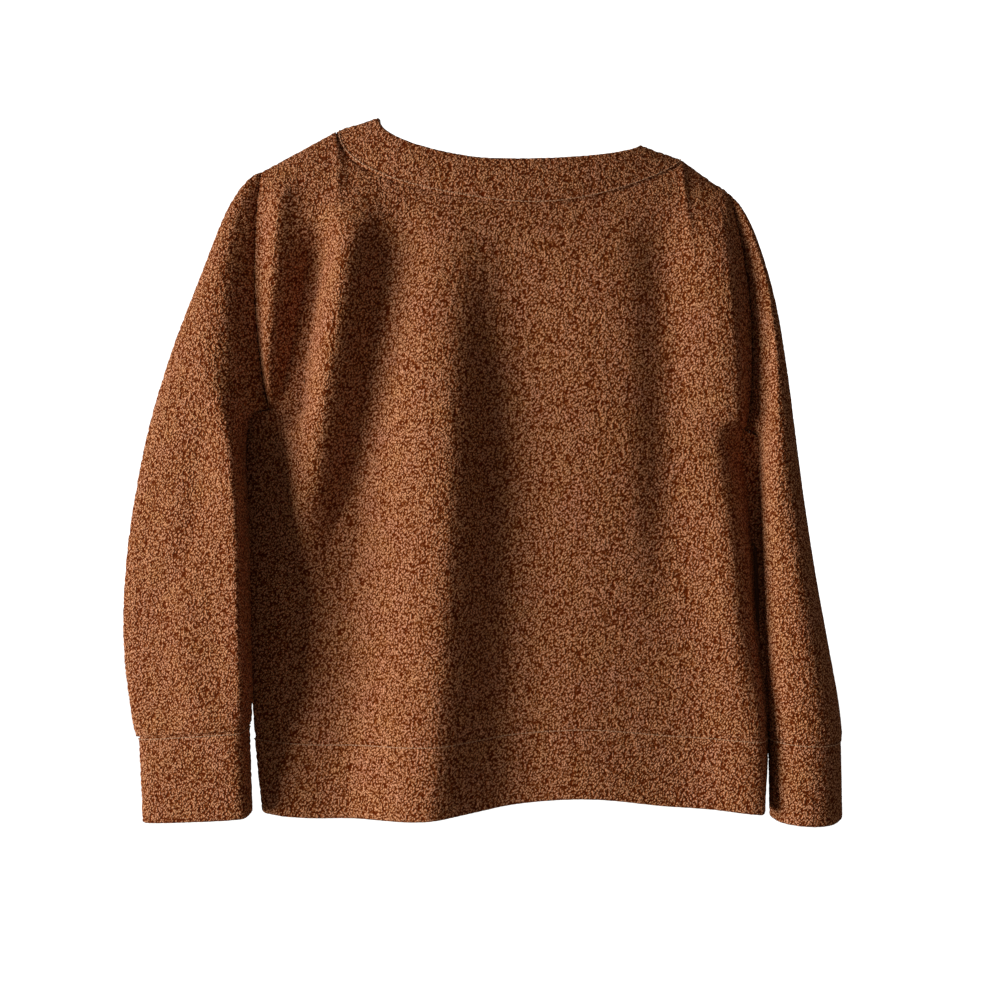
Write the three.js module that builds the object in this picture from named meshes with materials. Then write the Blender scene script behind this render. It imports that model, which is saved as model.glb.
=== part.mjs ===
// A sherpa fleece pullover, hung up by its shoulders, empty and hollow.
// Millimetres, +Z up, the front faces -Y and the garment's left sleeve in the view is at -X.
// The origin is on the shoulder line, where the neck opening is centred.
import * as THREE from "three";

// Cloth and seams
const WALL = 3; // thick curly fleece
const SEAM_GAP = 0.3;

// Widths, heights and depths of the hanging garment
const HEM_Z = -604;
const HEM_BAND = 66;
const BODY_DEPTH = { front: 33, back: 36 };
const UPPER_DEPTH = { front: 31, back: 28 };
const NECK_SEAM_DEPTH = { front: 25, back: 23 };
const NECK_EDGE_DEPTH = { front: 21, back: 20 };
const NECK_ROUND = 0.5; // low is a full round end of the neck at each shoulder, 1 a pointed one
const LEAST_DEPTH = 7; // no hollow presses the front and the back together further than this

// The armholes: crotch under the arm, and tip on the shoulder line
const ARMHOLE = {
  left: { crotchX: -213, crotchZ: -247, tipX: -219, tipZ: -33, depth: 10, bow: 8 },
  right: { crotchX: 216, crotchZ: -266, tipX: 199, tipZ: -51, depth: 13, bow: 11 },
};

// Side seams, from the hem edge (up 0) to the crotch of the armhole (up 1); y is how far back the seam lies
const SIDE_SEAMS = {
  left: [
    { up: 0, x: -219, y: 2 },
    { up: 0.2, x: -228, y: 9 },
    { up: 0.45, x: -234, y: 13 },
    { up: 0.68, x: -237, y: 13 },
    { up: 0.84, x: -238, y: 13 },
    { up: 0.95, x: -234, y: 10 },
    { up: 0.98, x: -226.5, y: 4.5 },
    { up: 1, x: ARMHOLE.left.crotchX, y: 0 },
  ],
  right: [
    { up: 0, x: 229, y: 0 },
    { up: 0.2, x: 231, y: 0 },
    { up: 0.45, x: 230, y: 0 },
    { up: 0.68, x: 228.5, y: 0 },
    { up: 0.84, x: 226.5, y: 0 },
    { up: 0.95, x: 225.5, y: 0 },
    { up: 0.985, x: 221.5, y: 0 },
    { up: 1, x: ARMHOLE.right.crotchX, y: 0 },
  ],
};
// How squarely a body section rounds off at its sides: low is boxy, high is lens-shaped
const SIDE_ROUNDING = { left: 1.5, leftArmpit: 0.8, right: 0.12, rightArmpit: 0.38, edge: 6 };

// Neck: the band's seam on the body and its free edge, each from the left shoulder to the right
const NECK_SEAM = {
  leftX: -151, leftZ: 4, rightX: 160, rightZ: -23, skew: 1,
  drop: { front: 58, back: 48 }, power: { left: 2.2, right: 1.4 },
};
const NECK_EDGE = {
  leftX: -113, leftZ: 16, rightX: 120, rightZ: -9, skew: 0.72,
  drop: { front: 31, back: 31 }, power: { left: 1.6, right: 1.6 },
};

// Sleeve sections from the armhole to the cuff seam. Each runs from its inner edge to its outer edge, stands
// front and back off the middle plane, and has its crest nearer the inner edge where crest is low.
const SLEEVES = {
  left: [
    { innerX: -213, innerZ: -247, outerX: -219, outerZ: -33, front: 10, back: 10,
      bow: 8, lean: 0, crest: 1, round: 0.6 },
    { innerX: -220, innerZ: -248, outerX: -232, outerZ: -42, front: 18, back: 14,
      bow: 8, lean: 0, crest: 0.95, round: 0.66 },
    { innerX: -228, innerZ: -254, outerX: -250, outerZ: -70, front: 26, back: 16,
      bow: 5, lean: 0, crest: 0.85, round: 0.76 },
    { innerX: -232, innerZ: -266, outerX: -273.5, outerZ: -128, front: 32, back: 16,
      bow: 3, lean: 0, crest: 0.68, round: 0.85 },
    { innerX: -233, innerZ: -285, outerX: -298.5, outerZ: -192, front: 40, back: 15,
      bow: 1, lean: 0, crest: 0.5, round: 0.9 },
    { innerX: -232, innerZ: -312, outerX: -318.5, outerZ: -256, front: 44, back: 13,
      bow: 0, lean: 0, crest: 0.43, round: 1.0 },
    { innerX: -230, innerZ: -350, outerX: -332.5, outerZ: -322, front: 45, back: 11,
      bow: 0, lean: 0, crest: 0.4, round: 1.05 },
    { innerX: -229, innerZ: -400, outerX: -341.5, outerZ: -390, front: 44, back: 10,
      bow: 0, lean: 0, crest: 0.39, round: 1.05 },
    { innerX: -228, innerZ: -455, outerX: -343.5, outerZ: -455, front: 42, back: 9,
      bow: 0, lean: 0, crest: 0.39, round: 1.05 },
    { innerX: -227, innerZ: -500, outerX: -338.5, outerZ: -506, front: 38, back: 9,
      bow: 0, lean: 0, crest: 0.4, round: 1.0 },
    { innerX: -228, innerZ: -530, outerX: -332.5, outerZ: -541, front: 33, back: 10,
      bow: 0, lean: 0, crest: 0.43, round: 0.95 },
  ],
  right: [
    { innerX: 216, innerZ: -266, outerX: 199, outerZ: -51, front: 13, back: 13,
      bow: 11, lean: 0, crest: 1, round: 0.6 },
    { innerX: 222, innerZ: -268, outerX: 211, outerZ: -66, front: 26, back: 26,
      bow: 9, lean: 0, crest: 1, round: 0.66 },
    { innerX: 226, innerZ: -274, outerX: 224, outerZ: -95, front: 34, back: 36,
      bow: 6, lean: 0, crest: 1, round: 0.76 },
    { innerX: 227.5, innerZ: -288, outerX: 240, outerZ: -146, front: 39, back: 43,
      bow: 3, lean: 2, crest: 1, round: 0.85 },
    { innerX: 228, innerZ: -308, outerX: 251, outerZ: -204, front: 42, back: 47,
      bow: 0, lean: 4, crest: 0.97, round: 0.8 },
    { innerX: 229, innerZ: -334, outerX: 260, outerZ: -266, front: 44, back: 49,
      bow: 0, lean: 7, crest: 0.95, round: 0.75 },
    { innerX: 230, innerZ: -366, outerX: 269, outerZ: -328, front: 44, back: 49,
      bow: 0, lean: 10, crest: 0.95, round: 0.7 },
    { innerX: 231.5, innerZ: -405, outerX: 279, outerZ: -392, front: 47, back: 47,
      bow: 0, lean: 12, crest: 0.95, round: 0.65 },
    { innerX: 233, innerZ: -455, outerX: 290.3, outerZ: -455, front: 49, back: 44,
      bow: 0, lean: 14, crest: 0.95, round: 0.6 },
    { innerX: 234.5, innerZ: -503, outerX: 299.5, outerZ: -506, front: 50, back: 41,
      bow: 0, lean: 15, crest: 0.95, round: 0.6 },
    { innerX: 236, innerZ: -537, outerX: 303.5, outerZ: -539, front: 49, back: 38,
      bow: 0, lean: 15, crest: 0.95, round: 0.6 },
  ],
};

// Cuffs: from the seam (the sleeve's last section, drawn in) to the free edge
const CUFFS = {
  left: { drawIn: 3, innerX: -227, innerZ: -610, outerX: -326, outerZ: -619,
    front: 24, back: 11, lean: 0, crest: 0.44 },
  right: { drawIn: 1.5, innerX: 238, innerZ: -610, outerX: 303.5, outerZ: -611,
    front: 47, back: 37, lean: 15, crest: 0.95 },
};

// Folds of the hanging cloth. Each runs from its top to its low end, bowed sideways, and stands out by rise
// (in, where it is negative). left and right are its half-widths, fadeIn and fadeOut how gently it ends.
const FRONT_FOLDS = [
  { name: "armhole fold", topX: -199, topZ: -50, lowX: -214, lowZ: -242,
    bow: 0, rise: 9, left: 10, right: 12, fadeIn: 30, fadeOut: 24 },
  { name: "crease by armhole", topX: -166, topZ: -95, lowX: -191, lowZ: -256,
    bow: 0, rise: -20, left: 14, right: 16, fadeIn: 70, fadeOut: 30 },
  { name: "chest ridge", topX: -132, topZ: -75, lowX: -179, lowZ: -365,
    bow: 0, rise: 16, left: 24, right: 24, fadeIn: 110, fadeOut: 130 },
  { name: "chest hollow", topX: -98, topZ: -85, lowX: -142, lowZ: -370,
    bow: 3, rise: -14, left: 22, right: 27, fadeIn: 60, fadeOut: 120 },
  { name: "hollow by the sleeve", topX: -146, topZ: -330, lowX: -144, lowZ: -640,
    bow: 0, rise: -11, left: 42, right: 34, fadeIn: 100, fadeOut: 1 },
  { name: "long ridge", topX: -46, topZ: -160, lowX: -70, lowZ: -640,
    bow: 3, rise: 21, left: 46, right: 31, fadeIn: 320, fadeOut: 1 },
  { name: "middle hollow", topX: -6, topZ: -150, lowX: 8, lowZ: -640,
    bow: 4, rise: -12, left: 28, right: 42, fadeIn: 200, fadeOut: 1 },
  { name: "soft ridge", topX: 100, topZ: -90, lowX: 108, lowZ: -400,
    bow: 0, rise: 4.5, left: 50, right: 26, fadeIn: 80, fadeOut: 180 },
  { name: "narrow hollow", topX: 137, topZ: -80, lowX: 140, lowZ: -370,
    bow: 2, rise: -5, left: 19, right: 19, fadeIn: 60, fadeOut: 170 },
  { name: "side ridge", topX: 190, topZ: -85, lowX: 214, lowZ: -400,
    bow: 0, rise: 16, left: 38, right: 13, fadeIn: 120, fadeOut: 150 },
  { name: "side swell", topX: 209, topZ: -360, lowX: 224, lowZ: -640,
    bow: 0, rise: 20, left: 40, right: 12, fadeIn: 200, fadeOut: 1 },
  { name: "hollow under the arm", topX: 212, topZ: -266, lowX: 231, lowZ: -470,
    bow: 0, rise: -24, left: 19, right: 15, fadeIn: 24, fadeOut: 120 },
];
const BACK_FOLDS = [
  { name: "left back ridge", topX: -158, topZ: -70, lowX: -176, lowZ: -640,
    bow: 8, rise: 8, left: 30, right: 26, fadeIn: 90, fadeOut: 1 },
  { name: "left back hollow", topX: -110, topZ: -80, lowX: -112, lowZ: -560,
    bow: -6, rise: -4, left: 26, right: 30, fadeIn: 90, fadeOut: 120 },
  { name: "back ridge", topX: -30, topZ: -140, lowX: -48, lowZ: -640,
    bow: 0, rise: 8, left: 48, right: 40, fadeIn: 170, fadeOut: 1 },
  { name: "back hollow", topX: 38, topZ: -120, lowX: 42, lowZ: -640,
    bow: 5, rise: -5, left: 34, right: 34, fadeIn: 150, fadeOut: 1 },
  { name: "right back ridge", topX: 118, topZ: -80, lowX: 134, lowZ: -640,
    bow: -5, rise: 8, left: 36, right: 28, fadeIn: 110, fadeOut: 1 },
  { name: "right back crease", topX: 176, topZ: -75, lowX: 192, lowZ: -260,
    bow: 4, rise: -8, left: 12, right: 10, fadeIn: 50, fadeOut: 40 },
  { name: "left back crease", topX: -190, topZ: -75, lowX: -196, lowZ: -240,
    bow: -3, rise: -8, left: 12, right: 10, fadeIn: 50, fadeOut: 40 },
];
const SLEEVE_FOLDS = {
  left: [
    { name: "elbow hollow", topX: -262, topZ: -250, lowX: -300, lowZ: -420,
      bow: 10, rise: -3.5, left: 16, right: 16, fadeIn: 60, fadeOut: 60 },
    { name: "forearm ridge", topX: -285, topZ: -330, lowX: -268, lowZ: -530,
      bow: -8, rise: 3.5, left: 20, right: 22, fadeIn: 70, fadeOut: 60 },
  ],
  right: [
    { name: "arm hollow", topX: 250, topZ: -300, lowX: 262, lowZ: -480,
      bow: -3, rise: -1.5, left: 9, right: 10, fadeIn: 60, fadeOut: 60 },
  ],
};

// Mesh steps
const COLUMNS = { shoulder: 9, neck: 24 };
const BACK_COLUMNS = { shoulder: 6, neck: 20 };
const ROWS = { lower: 12, upper: 14, band: 3 };
const SLEEVE_STEPS = { half: ROWS.upper, along: 22, cuff: 3 };

const clamp01 = (x) => Math.min(1, Math.max(0, x));
const lerp = (a, b, t) => a + (b - a) * t;
const smooth = (t) => clamp01(t) ** 2 * (3 - 2 * clamp01(t));
const steps = (from, to, n) => Array.from({ length: n + 1 }, (_, i) => lerp(from, to, i / n));

// A smooth curve through the column `value` of a table whose rows are ordered by the column `by`
function through(rows, by, value, at) {
  const last = rows.length - 1;
  let i = 0;
  while (i < last - 1 && at > rows[i + 1][by]) i++;
  const [a, b] = [rows[i], rows[i + 1]];
  const slope = (k) => {
    const [p, q] = [rows[Math.max(0, k - 1)], rows[Math.min(last, k + 1)]];
    return (q[value] - p[value]) / (q[by] - p[by]);
  };
  const span = b[by] - a[by];
  const t = clamp01((at - a[by]) / span);
  const [t2, t3] = [t * t, t * t * t];
  return (
    (2 * t3 - 3 * t2 + 1) * a[value] +
    (t3 - 2 * t2 + t) * span * slope(i) +
    (3 * t2 - 2 * t3) * b[value] +
    (t3 - t2) * span * slope(i + 1)
  );
}

// How far a table of folds lifts the cloth at a place of the view
function foldHeight(folds, x, z) {
  let height = 0;
  for (const fold of folds) {
    const along = (fold.topZ - z) / (fold.topZ - fold.lowZ);
    const centre = lerp(fold.topX, fold.lowX, clamp01(along)) + fold.bow * Math.sin(Math.PI * clamp01(along));
    const away = x - centre;
    const width = away < 0 ? fold.left : fold.right;
    const begins = smooth((fold.topZ - z) / fold.fadeIn + 0.5);
    const ends = smooth((z - fold.lowZ) / fold.fadeOut + 0.5);
    height += fold.rise * Math.exp(-((away / width) ** 2)) * begins * ends;
  }
  return height;
}

// Round profiles shared by the armholes, the sleeves and the shoulders: across is the way from one edge of a
// flattened tube to the other, bulge how far the wall stands off the middle plane there.
const across = (u) => (1 - Math.cos(Math.PI * u)) / 2;
const bulge = (u, power = 0.6) => Math.max(0, Math.sin(Math.PI * u)) ** power;
const shoulderRound = (u) => Math.sqrt(1 - Math.min(1, u) ** 8);

// The share of the way across the body at s, from -1 at the left side to 1 at the right
const spread = (s) => 0.5 + 0.5 * (0.4 * s + 0.6 * Math.sin((Math.PI * s) / 2));
function spreadInverse(share) {
  let [low, high] = [-1, 1];
  for (let i = 0; i < 40; i++) {
    const middle = (low + high) / 2;
    if (spread(middle) < share) low = middle;
    else high = middle;
  }
  return (low + high) / 2;
}

// A scooped line from a left point to a right point, and the share of the way along it for an x
function scoop(line, face, share) {
  const power = lerp(line.power.left, line.power.right, smooth(share));
  const bent = Math.abs(1 - 2 * clamp01(share) ** line.skew) ** power;
  return lerp(line.leftZ, line.rightZ, share) - line.drop[face] * (1 - bent) ** (1 / power);
}

// The top of a body panel: shoulder seam, neck seam, shoulder seam
function topLine(face, x) {
  const { left, right } = ARMHOLE;
  const { leftX, leftZ, rightX, rightZ } = NECK_SEAM;
  if (x <= leftX) return lerp(left.tipZ, leftZ, (x - left.tipX) / (leftX - left.tipX));
  if (x >= rightX) return lerp(rightZ, right.tipZ, (x - rightX) / (right.tipX - rightX));
  return scoop(NECK_SEAM, face, (x - leftX) / (rightX - leftX));
}

function topDepth(face, x) {
  const share = (x - NECK_SEAM.leftX) / (NECK_SEAM.rightX - NECK_SEAM.leftX);
  return share <= 0 || share >= 1 ? 0 : NECK_SEAM_DEPTH[face] * bulge(share, NECK_ROUND);
}

// The hem edge hangs lower at the left and is drawn up right of the long ridge
const HEM_WAVES = [
  { x: -170, width: 75, rise: -10 },
  { x: 72, width: 75, rise: 13 },
  { x: 192, width: 50, rise: 4 },
];
const hemLine = (x) =>
  HEM_WAVES.reduce((z, wave) => z + wave.rise * Math.exp(-(((x - wave.x) / wave.width) ** 2)), HEM_Z);

// A point of the body's outer surface. s runs from the left side (-1) to the right side (1);
// v runs from the hem edge (0) to the armpits (1) and on to the shoulder and neck seams (2).
function bodyPoint(face, s, v) {
  const { left, right } = ARMHOLE;
  const share = spread(s);
  const rounding = lerp(
    lerp(SIDE_ROUNDING.left, SIDE_ROUNDING.right, smooth(share)),
    lerp(SIDE_ROUNDING.leftArmpit, SIDE_ROUNDING.rightArmpit, smooth(share)),
    smooth((v - 0.55) / 0.45),
  );
  const inward = Math.max(0, Math.cos((Math.PI * s) / 2));
  const middle = inward ** rounding;
  let behind = 0;
  const facing = face === "front" ? -1 : 1;
  let x, z, depth;
  if (v <= 1) {
    const straight = [SIDE_SEAMS.left, SIDE_SEAMS.right].map((seam) => lerp(seam[0].x, seam.at(-1).x, v));
    const nearest = s < 0 ? SIDE_SEAMS.left : SIDE_SEAMS.right;
    const curved = through(nearest, "up", "x", v) - straight[s < 0 ? 0 : 1];
    x = lerp(...straight, share) + curved * Math.abs(s) ** 6;
    z = lerp(hemLine(x), lerp(left.crotchZ, right.crotchZ, share), v);
    const seamY = [SIDE_SEAMS.left, SIDE_SEAMS.right].map((seam) => through(seam, "up", "y", v));
    behind = lerp(...seamY, share) * (1 - middle);
    const edge = SIDE_ROUNDING.edge * (1 - v ** 8);
    depth = (lerp(BODY_DEPTH[face], UPPER_DEPTH[face], smooth(v)) - edge) * middle + edge * inward ** 0.3;
  } else {
    const u = v - 1;
    const armX = lerp(left.crotchX, right.crotchX, share);
    const topX = lerp(left.tipX, right.tipX, share);
    const edge = Math.abs(s) ** 6 * Math.sin(Math.PI * u) ** 2;
    const up = lerp(u, across(u), Math.abs(s) ** 8);
    x = lerp(armX, topX, up) + edge * (s < 0 ? -left.bow : right.bow);
    z = lerp(lerp(left.crotchZ, right.crotchZ, share), topLine(face, topX), up);
    const arm = lerp(left.depth, right.depth, share) * bulge(u);
    const onNeck = smooth(topDepth(face, topX) / 14);
    const turned = lerp(1 - shoulderRound(u), u ** 4, onNeck);
    depth = lerp(arm, lerp(UPPER_DEPTH[face], topDepth(face, topX), turned), middle);
  }
  const folds = face === "front" ? FRONT_FOLDS : BACK_FOLDS;
  const seamFade = smooth((1 - Math.abs(s)) / 0.07) * (v > 1 ? 1 - (v - 1) ** 8 : 1);
  depth = Math.max(depth + foldHeight(folds, x, z) * seamFade, Math.min(depth, LEAST_DEPTH));
  return new THREE.Vector3(x, behind + facing * (depth + SEAM_GAP / 2), z);
}

// The surface's outward direction at a place, from two steps across it
function facingOut(surface, u, v, step = 1e-3) {
  const d = (a, b) => surface(...b).sub(surface(...a));
  const alongU = d([Math.max(-1, u - step), v], [Math.min(1, u + step), v]);
  const alongV = d([u, v - step], [u, v + step]);
  return alongU.cross(alongV).normalize();
}

// The armhole's loop at u from crotch (0) to shoulder (1), and its outward direction in its own plane
function armholeOut(side, face, u) {
  const arm = ARMHOLE[side];
  const at = (w) => new THREE.Vector2(arm.depth * bulge(w), lerp(arm.crotchZ, arm.tipZ, across(w)));
  const tangent = at(Math.min(1, u + 0.01)).sub(at(Math.max(0, u - 0.01))).normalize();
  if (u < 0.02) return new THREE.Vector3(0, 0, -1);
  if (u > 0.98) return new THREE.Vector3(0, 0, 1);
  return new THREE.Vector3(0, (face === "front" ? -1 : 1) * tangent.y, -tangent.x);
}

function bodyOut(face, s, v) {
  const out = facingOut((a, b) => bodyPoint(face, a, b), s, v);
  if (face === "back") out.negate();
  const onArmhole = Math.abs(s) > 0.999 && v >= 1;
  if (onArmhole && v < 1.01) return new THREE.Vector3(Math.sign(s), 0, 0);
  if (onArmhole) return armholeOut(s < 0 ? "left" : "right", face, v - 1);
  const topX = lerp(ARMHOLE.left.tipX, ARMHOLE.right.tipX, spread(s));
  const onShoulder = v > 1.999 && (topX <= NECK_SEAM.leftX + 1 || topX >= NECK_SEAM.rightX - 1);
  if (Math.abs(s) > 0.999 || onShoulder) out.setY(0).normalize();
  else if (v > 1.999) out.add(bandOut(face, s, 0.02)).normalize();
  return out;
}

// How far along the neck a column stands, from its left end (0) to its right end (1)
function neckShare(s) {
  const x = lerp(ARMHOLE.left.tipX, ARMHOLE.right.tipX, spread(s));
  return clamp01((x - NECK_SEAM.leftX) / (NECK_SEAM.rightX - NECK_SEAM.leftX));
}

// A point of the neckband's outer surface, from its seam (w 0) to its free edge (w 1)
function bandPoint(face, s, w) {
  const share = neckShare(s);
  const facing = face === "front" ? -1 : 1;
  const seam = bodyPoint(face, s, 2);
  if (share < 1e-4 || share > 1 - 1e-4) seam.setY(0);
  const edge = new THREE.Vector3(
    lerp(NECK_EDGE.leftX, NECK_EDGE.rightX, share),
    facing * NECK_EDGE_DEPTH[face] * bulge(share, NECK_ROUND),
    scoop(NECK_EDGE, face, share),
  );
  const point = seam.lerp(edge, w);
  point.y += facing * 2 * Math.sin(Math.PI * w) * bulge(share);
  return point;
}

function bandOut(face, s, w) {
  const share = neckShare(s);
  const out = facingOut((a, b) => bandPoint(face, a, b), s, w);
  if (face === "back") out.negate();
  if (share < 1e-4 || share > 1 - 1e-4) out.setY(0).normalize();
  return out;
}

// A cloth wall from a grid of outer points and outward directions. rows[j][i]; a ring closes on itself
// along i.
function clothWall(name, rows, ring, thickness, material) {
  const [down, wide] = [rows.length, rows[0].length];
  const points = [];
  for (const inner of [0, thickness])
    for (const { at, out } of rows.flat()) points.push(at.clone().addScaledVector(out, -inner));
  const index = [];
  const outer = (j, i) => j * wide + (i % wide);
  const inner = (j, i) => down * wide + outer(j, i);
  const quad = (a, b, c, d) => index.push(a, b, c, a, c, d);
  const last = ring ? wide : wide - 1;
  for (let j = 0; j < down - 1; j++)
    for (let i = 0; i < last; i++) {
      quad(outer(j, i), outer(j, i + 1), outer(j + 1, i + 1), outer(j + 1, i));
      quad(inner(j, i), inner(j + 1, i), inner(j + 1, i + 1), inner(j, i + 1));
    }
  for (let i = 0; i < last; i++) {
    quad(outer(0, i), inner(0, i), inner(0, i + 1), outer(0, i + 1));
    quad(outer(down - 1, i), outer(down - 1, i + 1), inner(down - 1, i + 1), inner(down - 1, i));
  }
  if (!ring)
    for (let j = 0; j < down - 1; j++) {
      quad(outer(j, 0), outer(j + 1, 0), inner(j + 1, 0), inner(j, 0));
      quad(outer(j, wide - 1), inner(j, wide - 1), inner(j + 1, wide - 1), outer(j + 1, wide - 1));
    }
  const geometry = new THREE.BufferGeometry();
  const numbers = new Float32Array(points.flatMap((p) => [p.x, p.y, p.z]));
  geometry.setAttribute("position", new THREE.BufferAttribute(numbers, 3));
  geometry.setIndex(index);
  geometry.computeVertexNormals();
  const mesh = new THREE.Mesh(geometry, material);
  mesh.name = name;
  return mesh;
}

// The body's columns: evenly spaced over each shoulder and over the neck, with one at each end of the neck
// seam
function bodyColumns({ shoulder, neck }) {
  const width = ARMHOLE.right.tipX - ARMHOLE.left.tipX;
  const left = spreadInverse((NECK_SEAM.leftX - ARMHOLE.left.tipX) / width);
  const right = spreadInverse((NECK_SEAM.rightX - ARMHOLE.left.tipX) / width);
  return {
    left: steps(-1, left, shoulder),
    neck: steps(left, right, neck),
    right: steps(right, 1, shoulder),
  };
}

const bandTop = (s) => {
  const share = spread(s);
  const armpitZ = lerp(ARMHOLE.left.crotchZ, ARMHOLE.right.crotchZ, share);
  return HEM_BAND / (armpitZ - HEM_Z);
};

const sherpa = (colour) => new THREE.MeshStandardMaterial({ color: colour, roughness: 0.95, metalness: 0 });
const FLEECE = sherpa(0x8f5a38);
const BAND_FLEECE = sherpa(0x96603d);

// Front and back: each one piece, cut with deep armholes and a wide scooped neck
function bodyPanel(face, columns) {
  const { left, neck, right } = bodyColumns(columns);
  const columnsAcross = [...left, ...neck.slice(1), ...right.slice(1)];
  if (face === "back") columnsAcross.reverse();
  const gap = SEAM_GAP / 2 / (ARMHOLE.left.crotchZ - HEM_Z);
  const lower = steps(0, 1, ROWS.lower).slice(0, -1).map((t) => 1 - (1 - t) ** 1.5);
  const upper = steps(1, 2, ROWS.upper);
  const rowAt = (s, w) => (w < 1 ? lerp(bandTop(s) + gap, 1, w) : w);
  const rows = [...lower, ...upper].map((w) =>
    columnsAcross.map((s) => ({ at: bodyPoint(face, s, rowAt(s, w)), out: bodyOut(face, s, rowAt(s, w)) })),
  );
  return clothWall(`${face}_panel`, rows, false, WALL, FLEECE);
}

// Hem band: a ring of the same fleece, sewn on below the panels
function hemBand() {
  const { left, neck, right } = bodyColumns(COLUMNS);
  const front = [...left, ...neck.slice(1), ...right.slice(1)];
  const back = bodyColumns(BACK_COLUMNS);
  const behind = [...back.left, ...back.neck.slice(1), ...back.right.slice(1)].reverse().slice(1, -1);
  const gap = SEAM_GAP / 2 / (ARMHOLE.left.crotchZ - HEM_Z);
  const rows = steps(0, 1, ROWS.band).map((w) => {
    const place = (face) => (s) => {
      const v = lerp(0, bandTop(s) - gap, w);
      const at = bodyPoint(face, s, v);
      if (Math.abs(s) > 0.999) at.y += SEAM_GAP / 2;
      return { at, out: bodyOut(face, s, v) };
    };
    return [...front.map(place("front")), ...behind.map(place("back"))];
  });
  return clothWall("hem_band", rows, true, WALL, BAND_FLEECE);
}

// Where the neckband starts: a seam's width off the panels' top edge, square to their cut edge
function bandStart(face, s) {
  const at = bandPoint(face, s, 0);
  const toEdge = bandPoint(face, s, 0.1).sub(at).normalize();
  const share = neckShare(s);
  if (share < 1e-4 || share > 1 - 1e-4) return at.addScaledVector(toEdge, SEAM_GAP);
  const along = bodyPoint(face, s + 1e-3, 2).sub(bodyPoint(face, s - 1e-3, 2));
  const away = along.cross(bodyOut(face, s, 2)).normalize();
  return at.addScaledVector(away, SEAM_GAP * (away.dot(toEdge) < 0 ? -1.2 : 1.2));
}

// Neckband: a ring whose lower edge is sewn to both panels and whose upper edge is free
function neckband() {
  const front = bodyColumns(COLUMNS).neck;
  const behind = bodyColumns(BACK_COLUMNS).neck.slice(1, -1).reverse();
  const place = (face, w) => (s) => ({
    at: w === 0 ? bandStart(face, s) : bandPoint(face, s, w),
    out: w === 0 ? bodyOut(face, s, 2) : bandOut(face, s, w),
  });
  const rows = steps(0, 1, ROWS.band + 1).map((w) => [
    ...front.map(place("front", w)),
    ...behind.map(place("back", w)),
  ]);
  return clothWall("neckband", rows, true, WALL, BAND_FLEECE);
}

// A ring of a flattened tube: from its inner edge round the front to its outer edge, and back round behind
function tubeRing(section, half, folds) {
  const sideways = Math.sign(section.innerX);
  const ring = [];
  for (let k = 0; k < 2 * half; k++) {
    const behind = k > half;
    const u = behind ? 2 - k / half : k / half;
    const bowed = sideways * section.bow * Math.sin(Math.PI * u) ** 2;
    const x = lerp(section.innerX, section.outerX, across(u)) + bowed;
    const z = lerp(section.innerZ, section.outerZ, across(u));
    const lift = foldHeight(folds, x, z) * Math.sin(Math.PI * u) * (behind ? -0.6 : 1);
    const round = bulge(behind ? u : u ** section.crest, section.round);
    const depth = (behind ? section.back : section.front) * round + lift;
    const y = (behind ? 1 : -1) * depth;
    ring.push(new THREE.Vector3(x + (section.lean * y) / section.front, y, z));
  }
  return ring;
}

// A direction turned into a section's own plane, so that two pieces sewn there share one flat seam
function intoPlane(out, section) {
  const wide = new THREE.Vector3(section.outerX - section.innerX, 0, section.outerZ - section.innerZ);
  wide.normalize();
  const normal = wide.cross(new THREE.Vector3(0, 1, 0));
  return out.addScaledVector(normal, -out.dot(normal)).normalize();
}

// Outward directions of a stack of rings, from their neighbours
function ringsOut(rings) {
  const count = rings[0].length;
  return rings.map((ring, j) =>
    ring.map((_, i) => {
      const around = ring[(i + 1) % count].clone().sub(ring[(i + count - 1) % count]);
      const down = rings[Math.min(j + 1, rings.length - 1)][i].clone().sub(rings[Math.max(j - 1, 0)][i]);
      return around.cross(down).normalize();
    }),
  );
}

function sleeveSection(side, along) {
  const table = SLEEVES[side].map((row, index) => ({ ...row, index }));
  const columns = ["innerX", "innerZ", "outerX", "outerZ", "front", "back", "bow", "lean", "crest", "round"];
  return Object.fromEntries(columns.map((name) => [name, through(table, "index", name, along)]));
}

// The cuff's section at a share of the way down from the seam; share 0 is the sleeve's last section, drawn in
function cuffSection(side, share) {
  const seam = SLEEVES[side].at(-1);
  const { drawIn, ...edge } = CUFFS[side];
  const inward = Math.sign(seam.outerX) * drawIn;
  return {
    innerX: lerp(seam.innerX + inward / 2, edge.innerX, share),
    innerZ: lerp(seam.innerZ, edge.innerZ, share),
    outerX: lerp(seam.outerX - inward, edge.outerX, share),
    outerZ: lerp(seam.outerZ, edge.outerZ, share),
    front: lerp(seam.front - drawIn / 2, edge.front, share),
    back: lerp(seam.back - drawIn / 2, edge.back, share),
    bow: 0,
    lean: lerp(seam.lean, edge.lean, share),
    crest: lerp(seam.crest, edge.crest, share),
    round: seam.round,
  };
}

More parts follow.
